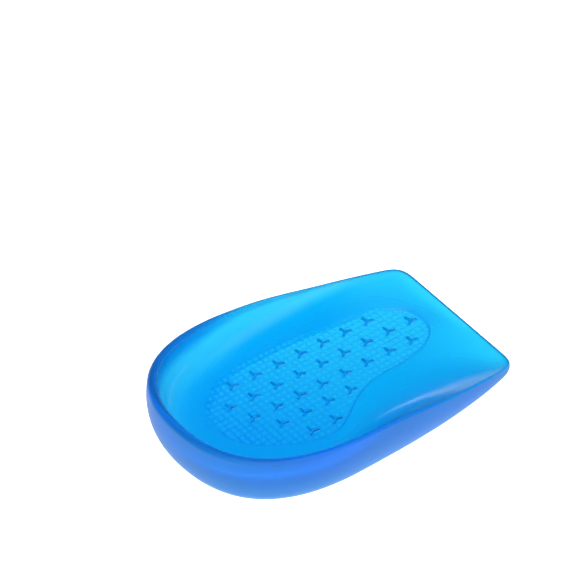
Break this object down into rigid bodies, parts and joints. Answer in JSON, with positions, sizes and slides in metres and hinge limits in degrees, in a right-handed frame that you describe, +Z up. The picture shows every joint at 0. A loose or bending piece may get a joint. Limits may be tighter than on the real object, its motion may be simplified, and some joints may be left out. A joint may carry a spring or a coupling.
{
  "type": "corrective heel insole",
  "caption": "Clear blue gel insole for one foot: a cupped heel with a wedge along one side, a thin front edge and a studded footbed panel, worn in a shoe to correct how the foot stands.",
  "frame": {"origin": "middle of the flat sole, at the middle of the part's box", "axes": "+Y from the heel to the front edge, +X to the wedge side, +Z up from the sole"},
  "size_m": [0.0664, 0.1004, 0.0185],
  "materials": {
    "clear_blue_gel": "glossy, clear"
  },
  "bodies": {
    "root": {"gel_heel_cup": "clear_blue_gel"}
  },
  "joints": []
}
